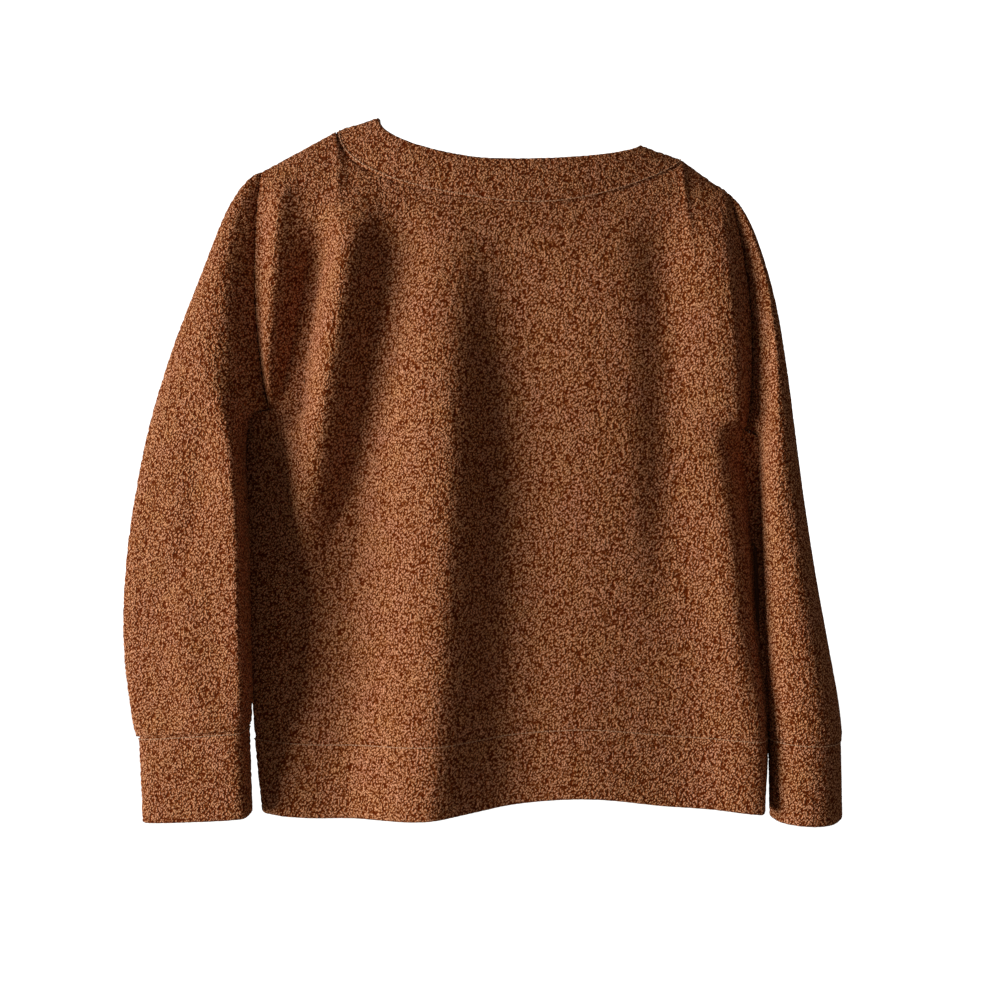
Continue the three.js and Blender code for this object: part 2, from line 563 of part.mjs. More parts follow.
// Sleeve: one piece folded round into a tube, set into the armhole
function sleeve(side) {
  const { half, along } = SLEEVE_STEPS;
  const sign = side === "left" ? -1 : 1;
  const places = steps(0, SLEEVES[side].length - 1, along);
  const rings = places.map((at) => tubeRing(sleeveSection(side, at), half, SLEEVE_FOLDS[side]));
  const outs = ringsOut(rings);
  const flip = side === "left" ? 1 : -1;
  const rows = rings.map((ring, j) =>
    ring.map((at, i) => {
      const u = i > half ? 2 - i / half : i / half;
      const face = i > half ? "back" : "front";
      const out = j === 0 ? armholeOut(side, face, u) : outs[j][i].multiplyScalar(flip);
      if (j === rings.length - 1) intoPlane(out, SLEEVES[side].at(-1));
      if (j === 0) at.x += sign * SEAM_GAP;
      return { at, out };
    }),
  );
  if (side === "right") rows.reverse();
  return clothWall(`${side}_sleeve`, rows, true, WALL, FLEECE);
}

// Cuff: a short straight ring, a little narrower than the sleeve that is sewn to it
function cuff(side) {
  const { half, cuff: along } = SLEEVE_STEPS;
  const length = CUFFS[side].innerZ - SLEEVES[side].at(-1).innerZ;
  const shares = steps(SEAM_GAP / Math.abs(length), 1, along);
  const rings = shares.map((share) => tubeRing(cuffSection(side, share), half, []));
  const outs = ringsOut(rings);
  const flip = side === "left" ? 1 : -1;
  const rows = rings.map((ring, j) =>
    ring.map((at, i) => {
      const out = outs[j][i].multiplyScalar(flip);
      return { at, out: j === 0 ? intoPlane(out, SLEEVES[side].at(-1)) : out };
    }),
  );
  if (side === "right") rows.reverse();
  return clothWall(`${side}_cuff`, rows, true, WALL, BAND_FLEECE);
}

const pullover = new THREE.Group();
pullover.name = "sherpa_pullover";
pullover.add(bodyPanel("front", COLUMNS), bodyPanel("back", BACK_COLUMNS), hemBand(), neckband());
for (const side of ["left", "right"]) pullover.add(sleeve(side), cuff(side));

export default pullover;
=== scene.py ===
from collections import namedtuple

import bpy
import numpy as np
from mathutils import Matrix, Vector


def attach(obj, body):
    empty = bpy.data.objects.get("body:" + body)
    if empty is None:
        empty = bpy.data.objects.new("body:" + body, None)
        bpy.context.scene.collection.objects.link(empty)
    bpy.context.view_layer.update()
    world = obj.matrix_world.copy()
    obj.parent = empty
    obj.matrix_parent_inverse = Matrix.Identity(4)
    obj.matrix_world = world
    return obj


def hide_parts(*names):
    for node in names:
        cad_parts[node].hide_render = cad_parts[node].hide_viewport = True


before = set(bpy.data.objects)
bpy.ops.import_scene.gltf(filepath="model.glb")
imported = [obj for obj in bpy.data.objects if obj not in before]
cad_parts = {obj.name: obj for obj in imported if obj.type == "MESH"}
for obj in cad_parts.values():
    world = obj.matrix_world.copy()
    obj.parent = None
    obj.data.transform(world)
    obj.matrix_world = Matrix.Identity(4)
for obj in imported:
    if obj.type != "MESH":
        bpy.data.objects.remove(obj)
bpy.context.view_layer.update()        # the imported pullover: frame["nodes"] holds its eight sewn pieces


# ---- Front panel ----
# One piece of thick sherpa fleece, curly side out and plain knit backing in, cut with deep armholes and a
# wide scooped neck. It hangs in soft upright folds: a ridge down from each shoulder, a long one to the hem.
WALL = 2.4  # mm from the outer surface in to the backing
LAP = 0.8  # mm that two sewn edges are pressed into each other
CURL = 3.6  # mm from one tuft of the pile to the next
PILE = 0.7  # mm that the tufts stand up; the curls on them are in the material's bump
PILE_FOOT = 0.5  # mm that the gaps between tufts lie inside the outer surface
TUFT_JITTER = 0.85  # how far tufts stand off their cells' middles, 1 is anywhere in the cell
TUFT_STRETCH = 0.55  # how much longer a tuft is one way, 0 is round
TUFT_SIZE, TUFT_SPREAD = 0.42, 0.22  # a tuft's least radius and what chance adds to it, in pitches
TUFT_TABLE = 48  # tufts along each side of the table of chances, after which they repeat
SEAM_DIP, SEAM_REACH = 0.8, 2.2  # mm that the pile is drawn down at a seam, and how far off the seam
ROLL_DIP, ROLL_REACH = 2.2, 2.4  # mm, the same where a free edge rolls over
BACKING_DIP = 0.25  # the share of a dip by which the backing stands further in
FRONT_CELL, BACK_CELL, SLEEVE_CELL, HEM_CELL, NECK_CELL = 1.72, 1.95, 1.5, 1.55, 1.5  # mm, mesh steps
BACKING_STEP = 4  # the plain side is meshed that many times coarser

HEM_Z = -604  # mm, the hem edge
HEM_BAND = 66  # mm deep
# mm that the cloth stands off the middle plane: above the hem, at the armpits, at the neck seam, nowhere less
BODY_DEPTH = {"front": 33, "back": 36}
UPPER_DEPTH = {"front": 31, "back": 28}
NECK_SEAM_DEPTH = {"front": 25, "back": 23}
LEAST_DEPTH = 7
SIDE_EDGE = 6  # mm, half the body's thickness right beside its side seams, from the hem to near the armpits
# how square the body's cross section is at its left and right end: low is square, high is pinched
HEM_SECTION, ARMPIT_SECTION = (1.5, 0.12), (0.8, 0.38)
SIDE_FADE = 0.07  # share of a panel's half width in which its folds fade out to the side seam

Armhole = namedtuple("Armhole", "crotch_x crotch_z tip_x tip_z depth bow")
LEFT_ARMHOLE = Armhole(-213, -247, -219, -33, 10, 8)
RIGHT_ARMHOLE = Armhole(216, -266, 199, -51, 13, 11)
# side seams: share of the way up from the hem edge to the armhole, x, and how far the left one lies behind
# the middle plane
LEFT_SIDE = [(0, -219, 2), (0.2, -228, 9), (0.45, -234, 13), (0.68, -237, 13), (0.84, -238, 13),
             (0.95, -238, 10), (0.975, -236, 5), (0.993, -228, 2), (1, -213, 0)]
RIGHT_SIDE = [(0, 231), (0.2, 234.5), (0.45, 233.5), (0.68, 232.5), (0.84, 231.5), (0.95, 230),
              (0.985, 227), (1, 216)]
HEM_WAVES = [(-170, 75, -10), (72, 75, 13), (192, 50, 4)]  # x, width, rise

NeckLine = namedtuple("NeckLine", "left_x left_z right_x right_z skew front back left_power right_power")
NECK_SEAM = NeckLine(-151, 4, 160, -23, 1, 58, 48, 2.2, 1.4)
NECK_EDGE = NeckLine(-113, 16, 120, -9, 0.72, 31, 31, 1.6, 1.6)
NECK_ROUND = 0.32  # low is a full round end of the neck at each shoulder, 1 a pointed one

SHOULDER_EASE = 70  # mm of each shoulder beside the neck where the panel slopes back to its seam
SHOULDER_SLOPE = 0.7  # how much it slopes at the neck's ends, where 1 is as along the neck seam
FULL_SLOPE_DEPTH = 14  # mm of the neck seam's depth from which the panel slopes fully

# folds in mm: where the crest or trough runs, how far it stands out (in, where negative) and how wide it is
Fold = namedtuple("Fold", "top_x top_z low_x low_z bow rise left right fade_in fade_out")
FRONT_FOLDS = [
    Fold(-199, -50, -214, -242, 0, 9, 10, 12, 30, 24),        # armhole fold
    Fold(-166, -95, -191, -256, 0, -20, 14, 16, 70, 30),      # crease by armhole
    Fold(-132, -75, -179, -365, 0, 16, 24, 24, 110, 130),     # chest ridge
    Fold(-98, -85, -142, -370, 3, -14, 22, 27, 60, 120),      # chest hollow
    Fold(-146, -330, -144, -640, 0, -11, 42, 34, 100, 1),     # hollow by the sleeve
    Fold(-46, -160, -70, -640, 3, 21, 46, 31, 320, 1),        # long ridge
    Fold(-6, -150, 8, -640, 4, -12, 28, 42, 200, 1),          # middle hollow
    Fold(100, -90, 108, -400, 0, 4.5, 50, 26, 80, 180),       # soft ridge
    Fold(137, -80, 140, -370, 2, -5, 19, 19, 60, 170),        # narrow hollow
    Fold(190, -85, 214, -400, 0, 16, 38, 13, 120, 150),       # side ridge
    Fold(209, -360, 224, -640, 0, 20, 40, 12, 200, 1),        # side swell
    Fold(212, -266, 231, -470, 0, -24, 19, 15, 24, 120),      # hollow under the arm
]


def smooth(t):
    t = np.clip(t, 0, 1)
    return t * t * (3 - 2 * t)


def lerp(a, b, t):
    return a + (b - a) * t


def through(by, values, at):
    """A smooth curve through table values, as a maker would rule it with a spline."""
    by, values = np.asarray(by, float), np.asarray(values, float)
    i = np.clip(np.searchsorted(by[1:], at, side="left"), 0, len(by) - 2)
    before, after = np.maximum(np.arange(len(by)) - 1, 0), np.minimum(np.arange(len(by)) + 1, len(by) - 1)
    slope = (values[after] - values[before]) / (by[after] - by[before])
    span = by[i + 1] - by[i]
    t = np.clip((at - by[i]) / span, 0, 1)
    return ((2 * t**3 - 3 * t**2 + 1) * values[i] + (t**3 - 2 * t**2 + t) * span * slope[i]
            + (3 * t**2 - 2 * t**3) * values[i + 1] + (t**3 - t**2) * span * slope[i + 1])


def fold_height(folds, x, z):
    height = 0
    for fold in folds:
        along = np.clip((fold.top_z - z) / (fold.top_z - fold.low_z), 0, 1)
        away = x - lerp(fold.top_x, fold.low_x, along) - fold.bow * np.sin(np.pi * along)
        width = np.where(away < 0, fold.left, fold.right)
        begins = smooth((fold.top_z - z) / fold.fade_in + 0.5)
        ends = smooth((z - fold.low_z) / fold.fade_out + 0.5)
        height = height + fold.rise * np.exp(-((away / width) ** 2)) * begins * ends
    return height


def bulge(u, power=0.6):
    return np.maximum(0, np.sin(np.pi * u)) ** power


def spread(s):
    return 0.5 + 0.5 * (0.4 * s + 0.6 * np.sin(np.pi * s / 2))


def scoop(line, face, share):
    power = lerp(line.left_power, line.right_power, smooth(share))
    bent = np.abs(1 - 2 * np.clip(share, 0, 1) ** line.skew) ** power
    drop = line.front if face == "front" else line.back
    return lerp(line.left_z, line.right_z, share) - drop * np.maximum(0, 1 - bent) ** (1 / power)


def neck_share(x):
    return np.clip((x - NECK_SEAM.left_x) / (NECK_SEAM.right_x - NECK_SEAM.left_x), 0, 1)


def top_line(face, x):
    """Height of a panel's top: shoulder seam, neck seam, shoulder seam."""
    on_left = (x - LEFT_ARMHOLE.tip_x) / (NECK_SEAM.left_x - LEFT_ARMHOLE.tip_x)
    on_right = (x - NECK_SEAM.right_x) / (RIGHT_ARMHOLE.tip_x - NECK_SEAM.right_x)
    z = scoop(NECK_SEAM, face, neck_share(x))
    z = np.where(x <= NECK_SEAM.left_x, lerp(LEFT_ARMHOLE.tip_z, NECK_SEAM.left_z, on_left), z)
    return np.where(x >= NECK_SEAM.right_x, lerp(NECK_SEAM.right_z, RIGHT_ARMHOLE.tip_z, on_right), z)


def hem_line(x):
    return HEM_Z + sum(rise * np.exp(-(((x - at) / width) ** 2)) for at, width, rise in HEM_WAVES)


def body_surface(face, s, v, folds):
    """The body's outer cloth in mm. s runs from the left side (-1) to the right (1), v from the hem edge (0)
    to the armpits (1) and on to the shoulder and neck seams (2)."""
    s, v = np.broadcast_arrays(np.asarray(s, float), np.asarray(v, float))
    share, side = spread(s), smooth(spread(s))
    low, up = np.minimum(v, 1), np.clip(v - 1, 0, 1)
    inward = np.maximum(0, np.cos(np.pi * s / 2))
    middle = inward ** lerp(lerp(*HEM_SECTION, side), lerp(*ARMPIT_SECTION, side), smooth((v - 0.55) / 0.45))
    crotch_z = lerp(LEFT_ARMHOLE.crotch_z, RIGHT_ARMHOLE.crotch_z, share)
    # from the hem to the armpits
    ends = [(np.array([row[0] for row in seam]), np.array([row[1] for row in seam]))
            for seam in (LEFT_SIDE, RIGHT_SIDE)]
    straight = [lerp(x[0], x[-1], low) for _, x in ends]
    curved = np.where(s < 0, through(*ends[0], low) - straight[0], through(*ends[1], low) - straight[1])
    low_x = lerp(*straight, share) + curved * np.abs(s) ** 6
    low_z = lerp(hem_line(low_x), crotch_z, low)
    behind = through(ends[0][0], [row[2] for row in LEFT_SIDE], low) * (1 - share) * (1 - middle) * (v <= 1)
    edge = SIDE_EDGE * (1 - low**8)
    low_depth = (lerp(BODY_DEPTH[face], UPPER_DEPTH[face], smooth(low)) - edge) * middle + edge * inward**0.3
    # from the armpits to the shoulders and the neck
    arm_x = lerp(LEFT_ARMHOLE.crotch_x, RIGHT_ARMHOLE.crotch_x, share)
    top_x = lerp(LEFT_ARMHOLE.tip_x, RIGHT_ARMHOLE.tip_x, share)
    bow = np.abs(s) ** 6 * np.sin(np.pi * up) ** 2 * np.where(s < 0, -LEFT_ARMHOLE.bow, RIGHT_ARMHOLE.bow)
    rise = lerp(up, (1 - np.cos(np.pi * up)) / 2, np.abs(s) ** 8)
    up_x = lerp(arm_x, top_x, rise) + bow
    up_z = lerp(crotch_z, top_line(face, top_x), rise)
    on_seam = (top_x > NECK_SEAM.left_x) & (top_x < NECK_SEAM.right_x)
    seam_depth = np.where(on_seam, NECK_SEAM_DEPTH[face] * bulge(neck_share(top_x), NECK_ROUND), 0)
    to_neck = np.maximum(NECK_SEAM.left_x - top_x, top_x - NECK_SEAM.right_x)
    slope = np.maximum(smooth(seam_depth / FULL_SLOPE_DEPTH),
                       SHOULDER_SLOPE * smooth(1 - to_neck / SHOULDER_EASE))
    turned = lerp(1 - np.sqrt(np.maximum(0, 1 - up**8)), up**4, slope)
    arm = lerp(LEFT_ARMHOLE.depth, RIGHT_ARMHOLE.depth, share) * bulge(up)
    up_depth = lerp(arm, lerp(UPPER_DEPTH[face], seam_depth, turned), middle)
    x, z = np.where(v <= 1, low_x, up_x), np.where(v <= 1, low_z, up_z)
    depth = np.where(v <= 1, low_depth, up_depth)
    fade = smooth((1 - np.abs(s)) / SIDE_FADE) * np.where(v > 1, 1 - up**8, 1)
    depth = np.maximum(depth + fold_height(folds, x, z) * fade, np.minimum(depth, LEAST_DEPTH))
    facing = -1 if face == "front" else 1
    return np.stack([x, behind + facing * (depth - LAP / 2), z], axis=-1)


def evenly(line, low, high, step):
    """Places from low to high, about step mm apart along a line, in a number that suits the backing."""
    fine = np.linspace(low, high, 1200)
    points = line(fine)
    run = np.concatenate([[0], np.cumsum(np.linalg.norm(np.diff(points, axis=0), axis=1))])
    count = BACKING_STEP * max(2, round(run[-1] / step / BACKING_STEP))
    return np.interp(np.linspace(0, run[-1], count + 1), run, fine)


def band_top(s):
    crotch_z = lerp(LEFT_ARMHOLE.crotch_z, RIGHT_ARMHOLE.crotch_z, spread(s))
    return HEM_BAND / (crotch_z - HEM_Z)


def outward(base, away, ring):
    """Unit directions off a grid of points, turned the way that away points, and whether the faces have to
    turn too."""
    around = np.roll(base, -1, 1) - np.roll(base, 1, 1) if ring else np.gradient(base, axis=1)
    out = np.cross(around, np.gradient(base, axis=0))
    out /= np.maximum(np.linalg.norm(out, axis=-1, keepdims=True), 1e-9)
    turned = np.sum(out * away) < 0
    return (-out if turned else out), turned


tuft_chances = np.random.default_rng(11).random((TUFT_TABLE, TUFT_TABLE, TUFT_TABLE, 7), dtype=np.float32)


def tufts(points):
    """The pile at points of the cloth: 0 in the gaps between tufts, 1 on the top of one. Each tuft is a small
    dome, longer one way, round its own jittered place."""
    cell = np.floor(points / CURL).astype(int)
    best = np.zeros(points.shape[:-1])
    for step in np.ndindex(3, 3, 3):
        place = cell + np.array(step) - 1
        entry = place % TUFT_TABLE
        chance = tuft_chances[entry[..., 0], entry[..., 1], entry[..., 2]]
        away = points / CURL - place - 0.5 - TUFT_JITTER * (chance[..., :3] - 0.5)
        lie = chance[..., 3:6] - 0.5
        lie = lie / np.maximum(np.linalg.norm(lie, axis=-1, keepdims=True), 1e-3)
        far = np.sum(away * away, axis=-1) - TUFT_STRETCH * np.sum(away * lie, axis=-1) ** 2
        best = np.maximum(best, 1 - far / (TUFT_SIZE + TUFT_SPREAD * chance[..., 6]) ** 2)
    return np.sqrt(np.clip(best, 0, 1))


def run_along(points, axis):
    """How far along the cloth each point lies from the first row or column, in mm."""
    step = np.linalg.norm(np.diff(points, axis=axis), axis=-1)
    zero = np.zeros_like(np.take(step, [0], axis=axis))
    return np.cumsum(np.concatenate([zero, step], axis=axis), axis=axis)


def sew(name, node, base, away, ring, free=(), seams=()):
    """A closed shell of fleece on a grid of outer points, in place of a CAD node. free names the edges that
    roll over on themselves, seams those that are drawn down into a seam: first, last, left, right."""
    rows, columns = base.shape[:2]
    out, turned = outward(base, away, ring)
    down, over = run_along(base, 0), run_along(base, 1)
    reach = {"first": down, "last": down[-1] - down, "left": over, "right": over[:, -1:] - over}
    sink = sum(SEAM_DIP * np.exp(-((reach[edge] / SEAM_REACH) ** 2)) for edge in seams)
    for edge in free:
        inside = np.clip(1 - reach[edge] / ROLL_REACH, 0, 1)
        sink = sink + ROLL_DIP * (1 - np.sqrt(1 - inside**2))
    height = tufts(base)
    skin = base + out * (PILE * height - PILE_FOOT - sink)[..., None]
    k = BACKING_STEP
    backing = (base - out * (WALL + BACKING_DIP * sink)[..., None])[::k, ::k]
    verts = np.concatenate([skin.reshape(-1, 3), backing.reshape(-1, 3)]) * 0.001
    first = rows * columns
    wide = backing.shape[1]

    def grid(count_rows, count_columns, start):
        i = np.arange(count_rows - 1)[:, None]
        j = np.arange(count_columns if ring else count_columns - 1)[None, :]
        right = (j + 1) % count_columns
        near, far = start + i * count_columns, start + (i + 1) * count_columns
        return np.stack([near + j, near + right, far + right, far + j], -1).reshape(-1, 4)

    outer = grid(rows, columns, 0)
    inner = grid(backing.shape[0], wide, first)[:, ::-1]
    rims = []
    for i, reverse in ((0, False), (rows - 1, True)):
        for j in range(wide if ring else wide - 1):
            edge = [i * columns + (j * k + q) % columns for q in range(k, -1, -1)]
            foot = [first + (i // k) * wide + j, first + (i // k) * wide + (j + 1) % wide]
            rims.append((edge + foot)[::-1] if reverse else edge + foot)
    if not ring:
        for j, reverse in ((0, True), (columns - 1, False)):
            for i in range(backing.shape[0] - 1):
                edge = [(i * k + q) * columns + j for q in range(k, -1, -1)]
                foot = [first + i * wide + j // k, first + (i + 1) * wide + j // k]
                rims.append((edge + foot)[::-1] if reverse else edge + foot)
    faces = outer.tolist() + inner.tolist() + rims
    if turned:
        faces = [f[::-1] for f in faces]
    mesh = bpy.data.meshes.new(name)
    mesh.from_pydata(verts.tolist(), [], faces)
    mesh.polygons.foreach_set("use_smooth", [True] * (len(outer) + len(inner)) + [False] * len(rims))
    mesh.polygons.foreach_set("material_index", [0] * len(outer) + [1] * len(inner) + [0] * len(rims))
    # the tufts' heights, which the fleece's colour reads to paint shade in the gaps between them
    mesh.attributes.new("pile", "FLOAT", "POINT").data.foreach_set(
        "value", np.concatenate([height.ravel(), np.full(backing.shape[0] * wide, 0.5)]))
    place = np.stack([over, down], -1) * 0.001
    place = np.concatenate([place.reshape(-1, 2), place[::k, ::k].reshape(-1, 2)])
    corners = np.empty(len(mesh.loops), int)
    mesh.loops.foreach_get("vertex_index", corners)
    mesh.uv_layers.new(name="cloth").data.foreach_set("uv", place[corners].ravel())
    mesh.update()
    piece = bpy.data.objects.new(name, mesh)
    bpy.context.collection.objects.link(piece)
    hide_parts(node)
    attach(piece, "root")
    return piece


def colour(hexa):
    """An sRGB hex colour as linear red, green, blue and alpha."""
    parts = [int(hexa[i:i + 2], 16) / 255 for i in (1, 3, 5)]
    return tuple(p / 12.92 if p <= 0.04045 else ((p + 0.055) / 1.055) ** 2.4 for p in parts) + (1,)


def node(material, kind, settings=None, **links):
    """Adds a node. settings are its own properties or its sockets' values; links are what goes into a socket,
    named with _ for a space, or by its number after an i."""
    made = material.node_tree.nodes.new(kind)
    for key, value in (settings or {}).items():
        if isinstance(key, str) and hasattr(made, key):
            setattr(made, key, value)
        else:
            made.inputs[key].default_value = value
    for key, source in links.items():
        by_number = key[0] == "i" and key[1:].isdigit()
        socket = made.inputs[int(key[1:]) if by_number else key.replace("_", " ")]
        material.node_tree.links.new(source, socket)
    return made


def new_material(name):
    material = bpy.data.materials.new(name)
    material.use_nodes = True
    material.node_tree.nodes.clear()
    return material


def ramp(material, source, stops):
    made = node(material, "ShaderNodeValToRGB", Fac=source)
    while len(made.color_ramp.elements) < len(stops):
        made.color_ramp.elements.new(0.5)
    for element, (at, hexa) in zip(made.color_ramp.elements, stops):
        element.position, element.color = at, colour(hexa)
    return made.outputs["Color"]


# Sherpa fleece: polyester pile, brushed and tumbled into tight curls under 3 mm across. Its colour is
# painted: a painted highlight makes the tops of the curls dusty tan, and painted shade makes the gaps between
# them a deep red-brown.
def sherpa(name, gap_painted_shade, body, top_painted_highlight):
    fleece = new_material(name)
    place = node(fleece, "ShaderNodeTexCoord").outputs["Object"]
    # each curl is bent by up to 0.9 mm and lies a little towards the upper right
    sway = node(fleece, "ShaderNodeTexNoise", {"Scale": 300.0, "Detail": 0.0}, Vector=place)
    bent = node(fleece, "ShaderNodeVectorMath", {"operation": "MULTIPLY_ADD", 1: (0.0018, 0.0018, 0.0018)},
                i0=sway.outputs["Color"], i2=place)
    lie = node(fleece, "ShaderNodeMapping",
               {"vector_type": "TEXTURE", "Rotation": (0, -0.87, 0), "Scale": (1.4, 1, 1)},
               Vector=bent.outputs[0])
    # curls 1.6 mm across and 2.2 mm long, with 0.7 mm wisps on them
    cells = node(fleece, "ShaderNodeTexVoronoi", {"Scale": 640.0, "Randomness": 0.85}, Vector=lie.outputs[0])
    curl = node(fleece, "ShaderNodeMapRange",
                {"interpolation_type": "SMOOTHSTEP", "From Min": 0.74, "From Max": 0.18},
                Value=cells.outputs["Distance"])
    fibre = node(fleece, "ShaderNodeTexNoise", {"Scale": 1500.0, "Detail": 1.0}, Vector=place)
    height = node(fleece, "ShaderNodeMath", {"operation": "MULTIPLY_ADD", 1: 0.25}, i0=fibre.outputs["Fac"],
                  i2=curl.outputs[0])
    tuft = node(fleece, "ShaderNodeAttribute", {"attribute_name": "pile"}).outputs["Fac"]
    depth = node(fleece, "ShaderNodeMath", {"operation": "MULTIPLY_ADD", 1: 0.12}, i0=tuft,
                 i2=height.outputs[0])
    scaled = node(fleece, "ShaderNodeMath", {"operation": "MULTIPLY", 1: 0.74}, i0=depth.outputs[0])
    # painted shade and painted highlight: the ramp darkens the colour to red-brown down between curls and
    # tufts, and lightens it to tan on their tops
    shade = ramp(fleece, scaled.outputs[0], [(0.15, gap_painted_shade), (0.45, body), (0.78, top_painted_highlight)])
    # brushed patches 22 mm across are a little warmer or cooler
    patch = node(fleece, "ShaderNodeTexNoise", {"Scale": 45.0, "Detail": 2.0}, Vector=place)
    warm = node(fleece, "ShaderNodeMix", {"data_type": "RGBA", 6: colour("#ffe9ee"), 7: colour("#fff3cc")},
                i0=patch.outputs["Fac"])
    mixed = node(fleece, "ShaderNodeMix", {"data_type": "RGBA", "blend_type": "MULTIPLY", 0: 1.0}, i6=shade,
                 i7=warm.outputs[2])
    bump = node(fleece, "ShaderNodeBump", {"Strength": 0.9, "Distance": 0.0011}, Height=height.outputs[0])
    skin = node(fleece, "ShaderNodeBsdfPrincipled",
                {"Roughness": 0.95, "Specular IOR Level": 0.04, "Sheen Weight": 0.08, "Sheen Roughness": 0.6,
                 "Sheen Tint": colour("#e0a070")}, Base_Color=mixed.outputs[2], Normal=bump.outputs[0])
    node(fleece, "ShaderNodeOutputMaterial", Surface=skin.outputs[0])
    return fleece


# the first colour is painted shade in the gaps, the last a painted highlight on the tops, the middle the
# fleece's own brown
FLEECE = sherpa("sherpa_fleece", "#581f00", "#a2653a", "#e0ab89")


# The plain side: a fine brown jersey knit, stitches 1.6 mm wide, drawn at 2.4 by 1.8 mm so that they show
def jersey(name):
    knit = new_material(name)
    cloth = node(knit, "ShaderNodeUVMap", {"uv_map": "cloth"}).outputs[0]
    wales = node(knit, "ShaderNodeTexWave", {"Scale": 130.0, "Distortion": 0.6, "Detail": 1.0}, Vector=cloth)
    rows = node(knit, "ShaderNodeTexWave", {"bands_direction": "Y", "Scale": 170.0, "Distortion": 0.6},
                Vector=cloth)
    both = node(knit, "ShaderNodeMath", {"operation": "MULTIPLY"}, i0=wales.outputs["Fac"],
                i1=rows.outputs["Fac"])
    shade = ramp(knit, both.outputs[0], [(0.0, "#4a2a19"), (1.0, "#75492f")])
    bump = node(knit, "ShaderNodeBump", {"Strength": 0.5, "Distance": 0.0005}, Height=both.outputs[0])
    skin = node(knit, "ShaderNodeBsdfPrincipled", {"Roughness": 0.9, "Specular IOR Level": 0.2},
                Base_Color=shade, Normal=bump.outputs[0])
    node(knit, "ShaderNodeOutputMaterial", Surface=skin.outputs[0])
    return knit


BACKING = jersey("knit_backing")


def finish_cloth(piece):
    piece.data.materials.append(FLEECE)
    piece.data.materials.append(BACKING)


def body_panel(face, folds, cell):
    # columns are spaced along a line across the body, rows along one up the right half
    across = evenly(lambda s: body_surface(face, s, 0.7, folds), -1, 1, cell)
    along = evenly(lambda w: body_surface(face, 0.35, w, folds), 0.2, 2, cell)
    w = ((along - along[0]) / (2 - along[0]))[:, None] * 2  # 0 at the hem band's seam, 2 at the top
    v = np.where(w < 1, lerp(band_top(across)[None, :], 1, w), w)
    base = body_surface(face, across[None, :], v, folds)
    away = np.array([0, -1 if face == "front" else 1, 0])
    return sew(f"{face}_fleece", f"{face}_panel", base, away, False, seams=("first", "last", "left", "right"))


front = body_panel("front", FRONT_FOLDS, FRONT_CELL)
finish_cloth(front)


# ---- Back panel ----
# Cut like the front but for a higher neck, and sewn to it at the sides and shoulders. It hangs in similar
# folds, none of which the photo shows, and two creases run from the shoulder blades to the armholes.
BACK_FOLDS = [
    Fold(-158, -70, -176, -640, 8, 8, 30, 26, 90, 1),         # left back ridge
    Fold(-110, -80, -112, -560, -6, -4, 26, 30, 90, 120),     # left back hollow
    Fold(-30, -140, -48, -640, 0, 8, 48, 40, 170, 1),         # back ridge
    Fold(38, -120, 42, -640, 5, -5, 34, 34, 150, 1),          # back hollow
    Fold(118, -80, 134, -640, -5, 8, 36, 28, 110, 1),         # right back ridge
    Fold(176, -75, 192, -260, 4, -8, 12, 10, 50, 40),         # right back crease
    Fold(-190, -75, -196, -240, -3, -8, 12, 10, 50, 40),      # left back crease
]
back = body_panel("back", BACK_FOLDS, BACK_CELL)
finish_cloth(back)


# ---- Sleeves ----
# Each is one piece folded round into a tube, sewn into the dropped armhole and narrowing to the cuff. The
# left one hangs as a broad flat tube, the right one is turned so that it shows its narrow side.
Station = namedtuple("Station", "inner_x inner_z outer_x outer_z front back bow lean crest round")
LEFT_SLEEVE = [
    Station(-213, -247, -219, -33, 10, 10, 8, 0, 1, 0.6),
    Station(-220, -248, -232, -42, 18, 14, 8, 0, 0.95, 0.66),
    Station(-228, -254, -250, -70, 26, 16, 5, 0, 0.85, 0.76),
    Station(-232, -266, -273.5, -128, 32, 16, 3, 0, 0.68, 0.85),
    Station(-233, -285, -298.5, -192, 40, 15, 1, 0, 0.45, 0.9),
    Station(-232, -312, -318.5, -256, 44, 13, 0, 0, 0.37, 1.0),
    Station(-230, -350, -332.5, -322, 45, 11, 0, 0, 0.34, 1.05),
    Station(-229, -400, -341.5, -390, 44, 10, 0, 0, 0.33, 1.05),
    Station(-228, -455, -343.5, -455, 42, 9, 0, 0, 0.33, 1.05),
    Station(-227, -500, -338.5, -506, 38, 9, 0, 0, 0.35, 1.0),
    Station(-228, -530, -332.5, -541, 33, 10, 0, 0, 0.4, 0.95),
]
RIGHT_SLEEVE = [
    Station(216, -266, 199, -51, 13, 13, 11, 0, 1, 0.6),
    Station(222, -268, 211, -66, 26, 26, 9, 0, 1, 0.66),
    Station(226, -274, 224, -95, 34, 36, 6, 0, 1, 0.76),
    Station(227.5, -288, 240, -146, 39, 43, 3, 2, 1, 0.85),
    Station(228, -308, 251, -204, 42, 47, 0, 4, 1.05, 0.8),
    Station(229, -334, 260, -266, 44, 49, 0, 7, 1.12, 0.75),
    Station(230, -366, 269, -328, 44, 49, 0, 10, 1.18, 0.7),
    Station(231.5, -405, 279, -392, 47, 47, 0, 12, 1.22, 0.65),
    Station(233, -455, 290.3, -455, 49, 44, 0, 13, 1.25, 0.6),
    Station(234.5, -503, 299.5, -506, 50, 41, 0, 13, 1.25, 0.6),
    Station(236, -537, 303.5, -539, 49, 38, 0, 13, 1.25, 0.6),
]
LEFT_SLEEVE_FOLDS = [
    Fold(-262, -250, -300, -420, 10, -3.5, 16, 16, 60, 60),   # outer hollow
    Fold(-285, -330, -268, -530, -8, 3.5, 20, 22, 70, 60),    # forearm ridge
]
RIGHT_SLEEVE_FOLDS = [Fold(250, -300, 262, -480, -3, -1.5, 9, 10, 60, 60)]
BEHIND = -0.6  # how a sleeve's folds show on its far side: shallower, and in where they are out in front


